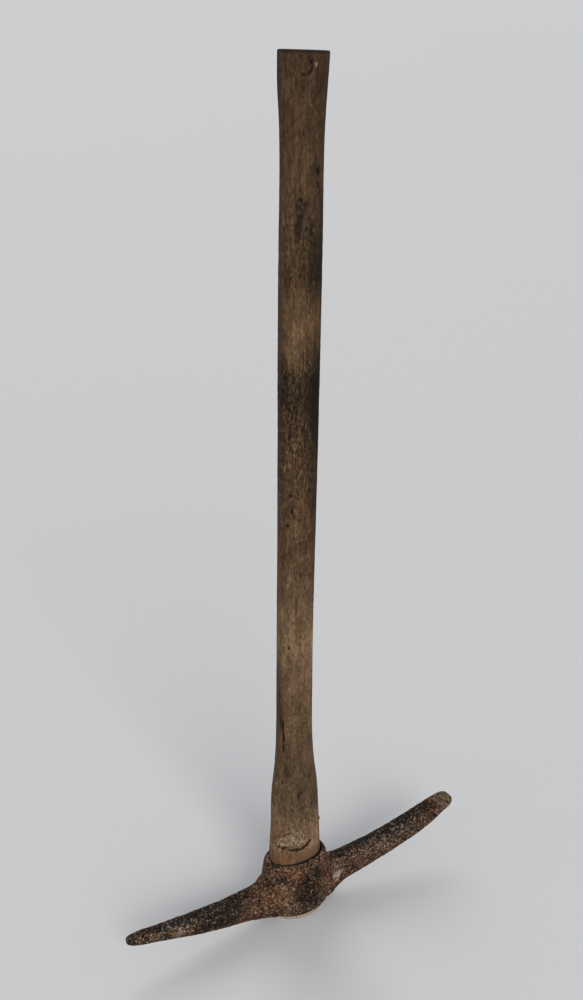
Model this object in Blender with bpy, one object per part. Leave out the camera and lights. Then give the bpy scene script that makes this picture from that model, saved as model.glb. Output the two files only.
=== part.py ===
"""A slip-eye pick: one forged iron head wedged on the flared foot of one straight hardwood handle.

Metres, +Z up. The origin is the middle of the handle's butt, which stands on the ground. The handle runs
up +Z, the narrow chisel arm of the head reaches along +X and the blunt point along -X.
"""

import math

import bmesh
import bpy
from mathutils import Vector

# The handle. Each station is (height, half width, half depth, sideways bow, squareness of the section).
# The foot is widest at the butt, so that the head jams on it. The swell above the head runs out in a
# shoulder into the shaft, and the shaft flares again at the grip end.
HANDLE_LENGTH = 0.914
BUTT_HALF_WIDTH = 0.0305
BUTT_HALF_DEPTH = 0.0218
BUTT_BOW = 0.0010
BUTT_SQUARENESS = 2.1
BUTT_CHAMFER = 0.0020
GRIP_ROUNDING = 0.0024
GRIP_ROUNDING_ANGLES = (0.0, 45.0, 90.0)
HANDLE_STATIONS = (
    (0.0080, BUTT_HALF_WIDTH, BUTT_HALF_DEPTH, 0.0003, BUTT_SQUARENESS),
    (0.0780, 0.0300, 0.0185, -0.0013, 2.1),
    (0.1100, 0.0288, 0.0186, -0.0018, 2.2),
    (0.1400, 0.0278, 0.0187, -0.0025, 2.3),
    (0.1640, 0.0267, 0.0187, -0.0029, 2.3),
    (0.1780, 0.0257, 0.0185, -0.0029, 2.2),
    (0.1910, 0.0238, 0.0181, -0.0030, 2.2),
    (0.2030, 0.0221, 0.0177, -0.0033, 2.2),
    (0.2240, 0.0206, 0.0166, -0.0037, 2.2),
    (0.2600, 0.0196, 0.0158, -0.0040, 2.2),
    (0.3500, 0.0192, 0.0154, -0.0041, 2.2),
    (0.4400, 0.0192, 0.0154, -0.0035, 2.2),
    (0.5500, 0.0198, 0.0158, -0.0026, 2.2),
    (0.7000, 0.0201, 0.0161, -0.0017, 2.2),
    (0.8280, 0.0196, 0.0157, -0.0010, 2.2),
    (0.8600, 0.0202, 0.0162, -0.0010, 2.2),
    (0.8860, 0.0218, 0.0175, -0.0010, 2.2),
    (0.9080, 0.0226, 0.0181, -0.0001, 2.2),
)
RING_STEP = 0.022
HANDLE_SEGMENTS = 32

# The eye of the head: a tapered oval hole, wider at the foot, in a socket with a thin rim at the top.
# Each station of the hole is (height, half width, half depth, sideways shift, squareness).
EYE_BOTTOM = 0.0080
EYE_TOP = 0.0785
HOLE_STATIONS = (
    (EYE_BOTTOM, 0.0310, 0.0223, 0.0003, 2.1),
    (EYE_TOP, 0.0314, 0.0191, -0.0016, 2.1),
)
HOLE_RING_SHARES = (0.0, 0.5, 1.0)
HOLE_OVERRUN = 0.010
# Each station of the socket's outside is (height, half width, half depth, sideways shift).
SOCKET_SQUARENESS = 2.3
SOCKET_STATIONS = (
    (EYE_BOTTOM, 0.0341, 0.0248, 0.0014),
    (0.0100, 0.0357, 0.0263, 0.0015),
    (0.0180, 0.0375, 0.0279, 0.0016),
    (0.0360, 0.0380, 0.0281, 0.0006),
    (0.0540, 0.0383, 0.0262, -0.0008),
    (0.0700, 0.0370, 0.0244, -0.0010),
    (0.0767, 0.0361, 0.0234, -0.0010),
    (EYE_TOP, 0.0347, 0.0221, -0.0009),
)
SOCKET_SEGMENTS = 40

# The arms of the head. Each station is (reach, height of the middle, depth of the bar, thickness).
ARM_SQUARENESS = 3.8
ARM_SEGMENTS = 24
CHISEL_ARM_STATIONS = (
    (0.018, 0.0318, 0.0560, 0.0360),
    (0.036, 0.0302, 0.0552, 0.0330),
    (0.045, 0.0312, 0.0486, 0.0244),
    (0.062, 0.0343, 0.0394, 0.0192),
    (0.095, 0.0391, 0.0366, 0.0182),
    (0.130, 0.0467, 0.0341, 0.0174),
    (0.165, 0.0562, 0.0294, 0.0189),
    (0.184, 0.0634, 0.0214, 0.0220),
    (0.197, 0.0690, 0.0124, 0.0238),
    (0.204, 0.0722, 0.0090, 0.0226),
    (0.209, 0.0744, 0.0066, 0.0186),
    (0.212, 0.0756, 0.0040, 0.0120),
)
POINT_ARM_STATIONS = (
    (0.018, 0.0300, 0.0540, 0.0360),
    (0.036, 0.0288, 0.0510, 0.0310),
    (0.045, 0.0278, 0.0440, 0.0250),
    (0.062, 0.0283, 0.0386, 0.0208),
    (0.095, 0.0295, 0.0303, 0.0190),
    (0.130, 0.0332, 0.0246, 0.0170),
    (0.165, 0.0387, 0.0164, 0.0152),
    (0.190, 0.0426, 0.0132, 0.0132),
    (0.200, 0.0445, 0.0100, 0.0100),
    (0.205, 0.0456, 0.0052, 0.0054),
)
ARM_STEP = 0.007

SHARP_ANGLE = 35.0

WOOD_COLOUR = (0.135, 0.080, 0.047, 1.0)
WOOD_ROUGHNESS = 0.72
WOOD_METALLIC = 0.0
IRON_COLOUR = (0.075, 0.047, 0.036, 1.0)
IRON_ROUGHNESS = 0.85
IRON_METALLIC = 0.35


def clear_scene():
    for item in list(bpy.data.objects):
        bpy.data.objects.remove(item, do_unlink=True)


def make_material(name, colour, roughness, metallic):
    material = bpy.data.materials.new(name)
    material.use_nodes = True
    shader = material.node_tree.nodes["Principled BSDF"]
    shader.inputs["Base Color"].default_value = colour
    shader.inputs["Roughness"].default_value = roughness
    shader.inputs["Metallic"].default_value = metallic
    return material


def smooth_between(stations, position):
    """The stations' values at a position, on a curve that passes through every station without overshoot."""
    last = len(stations) - 1
    index = 0
    while index < last - 1 and position > stations[index + 1][0]:
        index += 1
    low, high = stations[index], stations[index + 1]
    span = high[0] - low[0]
    t = min(max((position - low[0]) / span, 0.0), 1.0)
    values = []
    for column in range(1, len(low)):
        rise = (high[column] - low[column]) / span
        slopes = []
        for near in (index, index + 1):
            if near in (0, last):
                slopes.append(rise)
                continue
            before, here, after = stations[near - 1], stations[near], stations[near + 1]
            one = (here[column] - before[column]) / (here[0] - before[0])
            two = (after[column] - here[column]) / (after[0] - here[0])
            slopes.append(2.0 * one * two / (one + two) if one * two > 0.0 else 0.0)
        values.append(
            low[column] * (1 + 2 * t) * (1 - t) ** 2
            + high[column] * t * t * (3 - 2 * t)
            + slopes[0] * span * t * (1 - t) ** 2
            - slopes[1] * span * t * t * (1 - t)
        )
    return values


def spaced(stations, step):
    """Positions along the stations: every station, and even steps of at most the given length between."""
    positions = [stations[0][0]]
    for low, high in zip(stations, stations[1:]):
        count = max(1, math.ceil((high[0] - low[0]) / step))
        positions += [low[0] + (high[0] - low[0]) * (i + 1) / count for i in range(count)]
    return positions


def oval(half_width, half_depth, squareness, segments):
    """Points of an oval with flattened sides; a squareness of 2 is an ellipse."""
    points = []
    for i in range(segments):
        angle = 2 * math.pi * i / segments
        c, s = math.cos(angle), math.sin(angle)
        across = math.copysign(abs(c) ** (2 / squareness), c) * half_width
        along = math.copysign(abs(s) ** (2 / squareness), s) * half_depth
        points.append((across, along))
    return points


def skin(name, rings):
    """An object whose closed surface runs through the rings, with a flat cap at each end."""
    mesh = bpy.data.meshes.new(name)
    shell = bmesh.new()
    loops = [[shell.verts.new(point) for point in ring] for ring in rings]
    for lower, upper in zip(loops, loops[1:]):
        for i in range(len(lower)):
            j = (i + 1) % len(lower)
            shell.faces.new((lower[i], lower[j], upper[j], upper[i]))
    shell.faces.new(list(reversed(loops[0])))
    shell.faces.new(loops[-1])
    bmesh.ops.recalc_face_normals(shell, faces=shell.faces)
    shell.to_mesh(mesh)
    shell.free()
    mesh.shade_smooth()
    mesh.set_sharp_from_angle(angle=math.radians(SHARP_ANGLE))
    item = bpy.data.objects.new(name, mesh)
    bpy.context.scene.collection.objects.link(item)
    return item


def level_ring(height, half_width, half_depth, shift, squareness, segments):
    outline = oval(half_width, half_depth, squareness, segments)
    return [Vector((across + shift, along, height)) for across, along in outline]


def make_handle():
    rings = []
    for height, inset in ((0.0, BUTT_CHAMFER), (BUTT_CHAMFER, 0.0)):
        butt = (BUTT_HALF_WIDTH - inset, BUTT_HALF_DEPTH - inset, BUTT_BOW, BUTT_SQUARENESS)
        rings.append(level_ring(height, *butt, HANDLE_SEGMENTS))
    for height in spaced(HANDLE_STATIONS, RING_STEP):
        values = smooth_between(HANDLE_STATIONS, height)
        rings.append(level_ring(height, *values, HANDLE_SEGMENTS))
    half_width, half_depth, _, squareness = HANDLE_STATIONS[-1][1:]
    for angle in GRIP_ROUNDING_ANGLES:
        inset = GRIP_ROUNDING * (1 - math.cos(math.radians(angle)))
        height = HANDLE_LENGTH - GRIP_ROUNDING * (1 - math.sin(math.radians(angle)))
        grip = (half_width - inset, half_depth - inset, 0.0, squareness)
        rings.append(level_ring(height, *grip, HANDLE_SEGMENTS))
    handle = skin("handle", rings)
    wood = make_material("weathered_hardwood", WOOD_COLOUR, WOOD_ROUGHNESS, WOOD_METALLIC)
    handle.data.materials.append(wood)
    return handle


def make_arm(name, stations, side):
    """One curved arm, whose sections stand square to its middle line; side is +1 for +X and -1 for -X."""
    rings = []
    reaches = spaced(stations, ARM_STEP)
    last = len(reaches) - 1
    for i, reach in enumerate(reaches):
        middle, depth, thickness = smooth_between(stations, reach)
        before = reaches[max(i - 1, 0)]
        after = reaches[min(i + 1, last)]
        rise = smooth_between(stations, after)[0] - smooth_between(stations, before)[0]
        upward = Vector((-side * rise, 0.0, after - before)).normalized()
        ring = []
        for across, along in oval(thickness / 2, depth / 2, ARM_SQUARENESS, ARM_SEGMENTS):
            ring.append(Vector((side * reach, across, middle)) + upward * along)
        rings.append(ring)
    arm = skin(name, rings)
    hide_guide(arm)
    return arm


def hide_guide(item):
    item.hide_render = True
    item.display_type = "WIRE"


def make_eye_hole():
    """The tapered oval that the eye is cut with, run on straight past both faces of the socket."""
    foot, top = HOLE_STATIONS
    overrun = HOLE_OVERRUN / (top[0] - foot[0])
    rings = []
    for t in (-overrun, *HOLE_RING_SHARES, 1.0 + overrun):
        rings.append(level_ring(*(a + (b - a) * t for a, b in zip(foot, top)), SOCKET_SEGMENTS))
    hole = skin("eye_hole_cutter", rings)
    hide_guide(hole)
    return hole


def boolean(item, other, operation):
    step = item.modifiers.new(f"{operation.lower()}_{other.name}", "BOOLEAN")
    step.operation = operation
    step.solver = "EXACT"
    step.object = other


def make_pick_head():
    rings = []
    for height in spaced(SOCKET_STATIONS, ARM_STEP):
        values = smooth_between(SOCKET_STATIONS, height)
        ring = level_ring(height, *values, SOCKET_SQUARENESS, SOCKET_SEGMENTS)
        rings.append(ring)
    head = skin("pick_head", rings)
    boolean(head, make_arm("chisel_arm_guide", CHISEL_ARM_STATIONS, 1), "UNION")
    boolean(head, make_arm("point_arm_guide", POINT_ARM_STATIONS, -1), "UNION")
    boolean(head, make_eye_hole(), "DIFFERENCE")
    iron = make_material("rusted_forged_iron", IRON_COLOUR, IRON_ROUGHNESS, IRON_METALLIC)
    head.data.materials.append(iron)
    return head


clear_scene()
make_handle()
make_pick_head()
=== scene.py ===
import math

import bpy
import numpy as np
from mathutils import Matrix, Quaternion, Vector
from mathutils.bvhtree import BVHTree


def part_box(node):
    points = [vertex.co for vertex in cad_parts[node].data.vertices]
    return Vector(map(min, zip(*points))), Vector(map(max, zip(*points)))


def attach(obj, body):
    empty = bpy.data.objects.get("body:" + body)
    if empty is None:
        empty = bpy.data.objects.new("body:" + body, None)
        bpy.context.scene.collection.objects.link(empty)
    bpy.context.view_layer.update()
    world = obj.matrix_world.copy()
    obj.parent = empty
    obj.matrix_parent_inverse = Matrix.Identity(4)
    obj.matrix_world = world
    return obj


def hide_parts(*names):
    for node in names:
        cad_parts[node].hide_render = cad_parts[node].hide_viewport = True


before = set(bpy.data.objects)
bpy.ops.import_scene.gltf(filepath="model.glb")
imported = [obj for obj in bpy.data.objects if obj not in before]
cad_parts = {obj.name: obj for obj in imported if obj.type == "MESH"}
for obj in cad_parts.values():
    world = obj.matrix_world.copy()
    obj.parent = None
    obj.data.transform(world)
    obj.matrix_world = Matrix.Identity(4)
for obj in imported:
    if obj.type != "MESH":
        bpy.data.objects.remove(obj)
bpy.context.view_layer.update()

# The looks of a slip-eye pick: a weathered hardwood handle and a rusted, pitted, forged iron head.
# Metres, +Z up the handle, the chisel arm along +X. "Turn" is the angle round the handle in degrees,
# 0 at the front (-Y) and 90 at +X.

MM = 0.001

# ---------------------------------------------------------------- places on the object

HANDLE_LOW, HANDLE_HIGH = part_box("handle")
HEAD_LOW, HEAD_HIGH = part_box("pick_head")
HANDLE_LENGTH = HANDLE_HIGH.z - HANDLE_LOW.z
EYE_BOTTOM = 8.0 * MM
RIM_TOP = HEAD_HIGH.z
# The eye's hole at its bottom and its top: half width, half depth and how far behind the axis it lies.
EYE_AT_BOTTOM = (31.0 * MM, 22.3 * MM, 0.3 * MM)
EYE_AT_TOP = (31.4 * MM, 19.1 * MM, -1.6 * MM)
EYE_MARGIN = 0.8 * MM

# ---------------------------------------------------------------- camera, floor and light

VIEW_AZIMUTH = -29.15
VIEW_ELEVATION = 24.0
VIEW_ROLL = 0.36
VIEW_DISTANCE = 1.052
VIEW_AIM = Vector((-0.0067, 0.0038, 0.5125))
LENS = 39.17
FLOOR_SIZE = 400.0
FLOOR_COLOUR = (0.62, 0.625, 0.635, 1.0)
HORIZON_COLOUR = (0.609, 0.613, 0.627, 1.0)
ZENITH_COLOUR = (0.26, 0.27, 0.29, 1.0)


def view_back(azimuth, elevation):
    """The direction from the aim point back to a camera."""
    a, e = math.radians(azimuth), math.radians(elevation)
    return Vector((math.sin(a) * math.cos(e), -math.cos(a) * math.cos(e), math.sin(e)))


def make_camera():
    camera = bpy.data.objects.new("camera", bpy.data.cameras.new("camera"))
    bpy.context.scene.collection.objects.link(camera)
    camera.data.lens = LENS
    camera.data.sensor_width = 36.0
    camera.data.clip_start = 0.05
    camera.data.clip_end = 100.0
    back = view_back(VIEW_AZIMUTH, VIEW_ELEVATION)
    camera.location = VIEW_AIM + back * VIEW_DISTANCE
    camera.rotation_mode = "QUATERNION"
    roll = Quaternion((0.0, 0.0, 1.0), math.radians(VIEW_ROLL))
    camera.rotation_quaternion = (-back).to_track_quat("-Z", "Y") @ roll
    bpy.context.scene.camera = camera


def make_light(name, azimuth, elevation, spread, strength, colour):
    """A far, wide, soft light from the given direction; spread is its width in degrees."""
    lamp = bpy.data.lights.new(name, "SUN")
    lamp.angle = math.radians(spread)
    lamp.energy = strength
    lamp.color = colour
    light = bpy.data.objects.new(name, lamp)
    bpy.context.scene.collection.objects.link(light)
    light.rotation_mode = "QUATERNION"
    light.rotation_quaternion = (-view_back(azimuth, elevation)).to_track_quat("-Z", "Y")


def make_floor():
    mesh = bpy.data.meshes.new("floor")
    half = FLOOR_SIZE / 2
    corners = [(-half, -half, 0.0), (half, -half, 0.0), (half, half, 0.0), (-half, half, 0.0)]
    mesh.from_pydata(corners, [], [(0, 1, 2, 3)])
    floor = bpy.data.objects.new("floor", mesh)
    bpy.context.scene.collection.objects.link(floor)
    material = bpy.data.materials.new("pale_floor")
    material.use_nodes = True
    shader = material.node_tree.nodes["Principled BSDF"]
    shader.inputs["Base Color"].default_value = FLOOR_COLOUR
    shader.inputs["Roughness"].default_value = 0.9
    shader.inputs["Specular IOR Level"].default_value = 0.2
    mesh.materials.append(material)


def make_world():
    """A pale room that is as light as the floor at the horizon and darker overhead."""
    world = bpy.data.worlds.new("pale_room")
    world.use_nodes = True
    nodes, links = world.node_tree.nodes, world.node_tree.links
    place = nodes.new("ShaderNodeTexCoord")
    split = nodes.new("ShaderNodeSeparateXYZ")
    fade = nodes.new("ShaderNodeValToRGB")
    fade.color_ramp.interpolation = "EASE"
    low, high = fade.color_ramp.elements
    low.position, low.color = 0.05, HORIZON_COLOUR
    high.position, high.color = 0.8, ZENITH_COLOUR
    links.new(place.outputs["Generated"], split.inputs["Vector"])
    links.new(split.outputs["Z"], fade.inputs["Fac"])
    links.new(fade.outputs["Color"], nodes["Background"].inputs["Color"])
    bpy.context.scene.world = world


def make_studio():
    bpy.context.scene.view_settings.view_transform = "Standard"
    make_world()
    make_camera()
    make_floor()
    make_light("key_light", -12.0, 30.0, 30.0, 2.1, (1.0, 0.975, 0.94))
    make_light("fill_light", -85.0, 25.0, 50.0, 0.45, (0.93, 0.96, 1.0))
    make_light("rear_light", 165.0, 38.0, 40.0, 1.1, (1.0, 0.99, 0.97))


# ---------------------------------------------------------------- noise

WORD = 0xFFFFFFFF
CELL_FACTORS = (73856093, 19349663, 83492791)
SEED_FACTOR = 2654435761
MIXING_STEPS = ((15, 2246822519), (13, 3266489917))
LAYER_SHIFT = 17.3
LAYER_FADE = 0.55
LAYER_GAIN = 1.4
BOWL_WANDER = 0.25
BOWL_SMALLEST = 0.28
BOWL_LARGEST = 0.70


def lattice_random(cells, seed):
    """A fixed number from 0 to 1 for each whole-number cell."""
    mixed = np.uint64(seed * SEED_FACTOR)
    for axis, factor in enumerate(CELL_FACTORS):
        mixed = mixed ^ cells[..., axis].astype(np.int64).astype(np.uint64) * np.uint64(factor)
    mixed = mixed & np.uint64(WORD)
    for shift, factor in MIXING_STEPS:
        mixed = (mixed ^ (mixed >> np.uint64(shift))) * np.uint64(factor) & np.uint64(WORD)
    return (mixed ^ (mixed >> np.uint64(16))).astype(np.float64) / float(WORD)


def smooth_noise(points, seed):
    """Smooth noise from -1 to 1 with about one wave in each unit of length."""
    base = np.floor(points)
    t = points - base
    t = t * t * t * (t * (t * 6 - 15) + 10)
    total = 0.0
    for corner in np.ndindex(2, 2, 2):
        weight = np.prod(np.where(corner, t, 1 - t), axis=-1)
        total = total + weight * lattice_random(base + corner, seed)
    return total * 2 - 1


def layered_noise(points, size, seed, layers=2):
    """Smooth noise from about -1 to 1, with finer layers added. Size is the length of a wave,
    or its length along each axis."""
    scaled = points / np.asarray(size)
    total, strength, sum_of_strengths = 0.0, 1.0, 0.0
    for layer in range(layers):
        finer = scaled * 2.0 ** layer + LAYER_SHIFT * layer
        total = total + smooth_noise(finer, seed + layer) * strength
        sum_of_strengths += strength
        strength *= LAYER_FADE
    return total / sum_of_strengths * LAYER_GAIN


def bowls(points, size, seed, share):
    """Scattered round bowls: 1 at the bottom of a bowl and 0 outside.
    Share is how many of the cells hold one."""
    scaled = points / np.asarray(size)
    wander = [smooth_noise(scaled * 1.7, seed + 40 + axis) for axis in range(3)]
    scaled = scaled + BOWL_WANDER * np.stack(wander, axis=-1)
    base = np.floor(scaled)
    deepest = np.zeros(scaled.shape[:-1])
    for offset in np.ndindex(3, 3, 3):
        cell = base + offset - 1
        centre = cell + np.stack([lattice_random(cell, seed + axis) for axis in range(3)], axis=-1)
        radius = BOWL_SMALLEST + (BOWL_LARGEST - BOWL_SMALLEST) * lattice_random(cell, seed + 3)
        there = lattice_random(cell, seed + 4) < share
        distance = np.linalg.norm(scaled - centre, axis=-1)
        deepest = np.maximum(deepest, np.clip(1 - (distance / radius) ** 2, 0, 1) * there)
    return deepest


def ramp(values, low, high):
    """0 below low, 1 above high and smooth between; low may be the larger one."""
    t = np.clip((values - low) / (high - low), 0, 1)
    return t * t * (3 - 2 * t)


# ---------------------------------------------------------------- mesh tools


def make_piece(name, points, faces):
    mesh = bpy.data.meshes.new(name)
    mesh.from_pydata(points.tolist(), [], faces)
    mesh.shade_smooth()
    piece = bpy.data.objects.new(name, mesh)
    bpy.context.scene.collection.objects.link(piece)
    return piece


def add_marks(piece, marks):
    """Stores each named array of one number per vertex on the mesh, for the material to read."""
    for name, values in marks.items():
        layer = piece.data.attributes.new(name, "FLOAT", "POINT")
        layer.data.foreach_set("value", np.clip(values, 0, 1).astype(np.float32).ravel())


def vertex_array(mesh, field):
    values = np.zeros(len(mesh.vertices) * 3)
    mesh.vertices.foreach_get(field, values)
    return values.reshape(-1, 3)


def softened(values, axis, passes, wrap):
    """A grid blurred along one axis."""
    for _ in range(passes):
        if wrap:
            before, after = np.roll(values, 1, axis), np.roll(values, -1, axis)
        else:
            edge = [(1, 1) if i == axis else (0, 0) for i in range(values.ndim)]
            padded = np.pad(values, edge, mode="edge")
            before = np.take(padded, range(0, values.shape[axis]), axis)
            after = np.take(padded, range(2, values.shape[axis] + 2), axis)
        values = (before + 2 * values + after) / 4
    return values


# ---------------------------------------------------------------- the handle

SIDES = 150
FOOT_RING_STEP = 0.9 * MM
SHAFT_RING_STEP = 1.9 * MM
FOOT_ZONE = 200 * MM
BUTT_ROUND = 2.6 * MM
GRIP_ROUND = 1.8 * MM
CAP_RINGS = 14
SMOOTHING_ROUND = 16
SMOOTHING_ALONG = 24
RAY_START = 100 * MM

# The bands of light and dark wood along the handle, from the rim to the grip:
# (height in mm, lightness at each of the tone turns, ruggedness), blended from each to the next.
# A lightness of 1 is plain wood, and ruggedness is how broken the surface is.
TONE_TURNS = (-84.0, -29.0, 26.0)
TONE_SPREAD = 34.0
TONE_BANDS = (
    (90, 1.9, 1.6, 2.3, 0.2),
    # the palest wood, just above the rim
    (100, 2.5, 2.5, 2.9, 0.8),
    (125, 2.2, 2.0, 2.2, 0.8),
    (155, 1.7, 1.2, 1.0, 0.9),
    # the plain lower shaft, lighter at its right
    (210, 1.0, 1.1, 1.4, 0.6),
    (290, 1.0, 1.4, 1.7, 0.5),
    (325, 1.2, 1.5, 2.1, 0.5),
    # a broad pale band
    (360, 2.3, 1.9, 3.0, 0.6),
    (385, 2.4, 1.4, 2.2, 0.5),
    (410, 1.5, 1.4, 1.3, 0.5),
    (470, 1.2, 0.9, 0.8, 0.8),
    # dark and rough, and darkest at 620
    (540, 0.8, 0.9, 0.4, 1.1),
    (600, 0.6, 0.6, 0.2, 1.7),
    (620, 0.4, 0.3, 0.1, 1.8),
    (640, 0.5, 0.5, 0.1, 1.6),
    # the smooth light band, and the dark one above it
    (660, 0.8, 1.3, 0.4, 1.0),
    (690, 0.8, 1.6, 1.0, 0.4),
    (730, 0.9, 0.6, 0.2, 0.9),
    # the grip, even and dull
    (770, 0.8, 0.9, 0.4, 1.2),
    (810, 0.9, 1.0, 0.9, 0.5),
    (870, 0.8, 0.7, 0.6, 0.6),
    (910, 0.7, 0.7, 0.7, 0.6),
)
# How far the wood has lost its warm colour: heights in mm and shares.
GREY_HEIGHTS = (0, 90, 150, 210, 290, 330, 400, 440, 914)
GREY_SHARES = (0.6, 1.0, 1.0, 0.5, 0.4, 1.0, 0.9, 0.25, 0.0)
# The back is an even tone, between these turns from the middle of the toned side.
BACK_TONE = 0.63
BACK_TONE_LEFT_SHARE = 0.4
BACK_STARTS = 85.0
BACK_FULL = 125.0
# What the marks for tone and ruggedness are divided by, because a mark holds 0 to 1.
TONE_FULL_SCALE = 4.0
RUGGED_FULL_SCALE = 2.0
# Dark and light places on the wood: (height, turn, half height, half width, strength), lengths in mm.
DARK_STAINS = (
    (793, -27, 8, 6, 1.15),
    (778, -42, 11, 3.5, 1.1),
    (764, -38, 18, 5, 0.45),
    (769, 4, 12, 4, 0.9),
    (765, 60, 60, 8, 0.5),
    (640, 66, 90, 7, 0.6),
    (608, 28, 32, 11, 1.0),
    (628, -76, 26, 4, 0.5),
    (545, 68, 80, 6, 0.6),
    (516, -52, 30, 5, 0.5),
    (470, 66, 60, 5, 0.4),
    (290, -82, 18, 3.0, 0.8),
    (262, -76, 12, 2.2, 0.8),
    (238, -70, 12, 1.4, 0.6),
    (205, -61, 9, 3.5, 0.8),
    (168, -66, 9, 5, 0.5),
    (170, -20, 10, 3.5, 0.9),
    (180, -5, 7, 4, 0.4),
    (205, -48, 12, 4, 0.3),
    (700, 150, 60, 16, 0.7),
    (430, 175, 50, 14, 0.5),
    (800, -160, 40, 12, 0.5),
    (250, 130, 35, 12, 0.5),
    (560, -140, 70, 12, 0.5),
    (150, 160, 20, 12, 0.45),
)
PALE_PATCHES = (
    (697, -3, 22, 7, 0.2),
    (655, -12, 16, 9, 0.3),
    (187, -82, 11, 6, 0.4),
    (905, 6, 2.8, 2.2, 0.75),
    (792, -28, 2.0, 1.8, 0.7),
    (109.5, -61, 2.5, 4.0, 1.8),
    (108.5, -20, 4.0, 5.0, 1.5),
    (101.5, 32, 3.2, 1.6, 2.0),
    (117, -20, 8, 13, 0.60),
    (115, -60, 7, 10, 0.50),
    (790, -24, 3, 1.4, 0.9),
    (772, 8, 3, 1.3, 0.9),
    (478, -20, 1.3, 5, 0.8),
    (401, 7, 1.5, 1.3, 1.1),
    (600, 170, 45, 15, 0.5),
    (350, -150, 50, 14, 0.4),
    (840, 140, 30, 14, 0.4),
)
RED_PATCHES = (
    (384, -28, 22, 3.6, 0.65),
    (430, -80, 36, 4, 0.7),
    (455, -84, 30, 3, 0.5),
    (86, -60, 9, 22, 0.8),
    (120, -68, 10, 8, 0.5),
    (620, -72, 30, 5, 0.5),
    (500, 170, 40, 10, 0.6),
)
# Small holes and chips: (height, turn, half height, half width, depth), in mm.
HOLES = (
    (821.5, 26, 2.0, 2.2, 1.5),
    (818.5, 27, 2.6, 1.2, 1.3),
    (811, 24, 1.9, 1.2, 1.1),
    (807, 28, 1.2, 1.0, 0.9),
    (909.5, -38, 1.6, 1.2, 0.6),
    (797.5, -37, 1.5, 2.2, 0.6),
    (798, -27, 1.3, 2.4, 0.6),
    (794, -15, 3.0, 1.0, 0.6),
    (788.5, -20, 1.6, 1.8, 0.6),
    (785, -31, 1.5, 2.2, 0.6),
    (779, -42, 4.5, 1.1, 0.7),
    (770, -43, 3.2, 0.9, 0.6),
    (910, -12, 1.2, 1.4, 0.6),
    (771, 3, 6, 1.2, 0.5),
    (524.7, -54, 1.7, 1.6, 1.1),
    (508, -50, 2.4, 1.1, 1.1),
    (493, -62, 1.5, 1.9, 1.1),
    (489, -80, 1.3, 1.1, 0.9),
    (357, -54, 1.5, 1.6, 0.9),
    (357, 9, 1.3, 1.5, 0.8),
    (104, 22, 2.6, 2.2, 1.3),
    (101.0, -74, 1.8, 1.0, 0.7),
    (98.5, -63, 1.8, 1.0, 0.7),
    (96.5, -52, 1.8, 1.0, 0.6),
    (652, 150, 4, 2.2, 1.2),
    (470, 120, 5, 2.0, 1.0),
    (300, 165, 3, 2.0, 1.1),
    (730, -150, 4, 2.0, 1.1),
)
# Long cracks along the grain: (height, turn, half height, half width, depth), in mm.
CRACKS = (
    (263, -71, 8, 0.9, 1.1),
    (250, -70, 8, 1.1, 1.2),
    (240, -69, 8, 0.9, 1.1),
    (230, -68, 6, 0.8, 1.0),
    (284, -76, 10, 0.7, 0.6),
    (640, 96, 60, 0.7, 0.8),
    (770, -118, 50, 0.7, 0.8),
    (420, 150, 70, 0.7, 0.9),
    (200, 175, 40, 0.8, 1.0),
)
# The splintered lip above the head: where it runs round the handle, and how far its ends rise.
LIP_TURN = -24.0
LIP_LEFT_TURN = -80.0
LIP_RIGHT_TURN = 22.0
LIP_LOW = 96.5 * MM
LIP_LEFT_RISE = 8.6 * MM
LIP_LEFT_CURVE = 1.4
LIP_RIGHT_RISE = 4.8 * MM
LIP_HALF_TURN = 52.0
LIP_TALL_MM = 4.6
LIP_JAG = 0.8 * MM
LIP_STAND_MM = 26.0
# The arched crack above the lip.
ARCH_TURN = -49.0
ARCH_HALF_TURN = 20.0
ARCH_HIGH = 123.0 * MM
ARCH_SAG = 7.0 * MM
ARCH_THICK = 0.9 * MM
# The hook-shaped crack round a small knot at the grip end.
KNOT_HEIGHT = 902.5 * MM
KNOT_TURN = -26.0
KNOT_RADIUS = 6.3 * MM
KNOT_DISH_RADIUS = 5.5 * MM
KNOT_OPEN_TO = 140.0
HOOK_THICK = 1.5 * MM
# Where the foot swells above the rim, as (turn, spread in degrees, swell), and the butt below it.
FOOT_SWELLS = ((-80.0, 36.0, 2.2 * MM), (90.0, 30.0, 0.6 * MM))
BUTT_SWELL_TURN = 22.0
BUTT_SWELL_SPREAD = 38.0
BUTT_SWELL = 1.6 * MM
# The painted shade line on the wood where it meets the rim, standing in for the shade in the gap there:
# its height above the rim and its reach, in mm.
RIM_SHADE_UP = 0.6
RIM_SHADE_TALL = 1.3
# The wood goes from clean to weathered over this height above the rim.
WEATHERED_ABOVE_RIM = 6.0 * MM
# The slightly slanted cut of the grip end.
GRIP_CUT_SLOPE = 0.03
GRIP_CUT_REACH = 30.0 * MM
GRIP_RISE = 1.8 * MM
# The small splinter that stands out above the head.
SPLINTER_HEIGHT = 122.7 * MM
SPLINTER_TURN = 71.0
SPLINTER_HALF_WIDTH = 1.3 * MM
SPLINTER_HALF_HEIGHT = 1.6 * MM
SPLINTER_STANDS = 1.5
# How far each kind of wear lifts the surface, in mm. Those that lower it are negative.
WOOD_RELIEF = {
    "waves": 0.22,
    "grain": 0.075,
    "checks": -0.22,
    "rough": 0.10,
    "pits": -0.4,
    "lip_cut": -0.9,
    "lip_edges": -0.7,
    "lip_stand": 0.6,
    "lip_fray": 0.45,
    "arch": -0.9,
    "hook": -0.7,
    "dish": -0.35,
}
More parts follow.
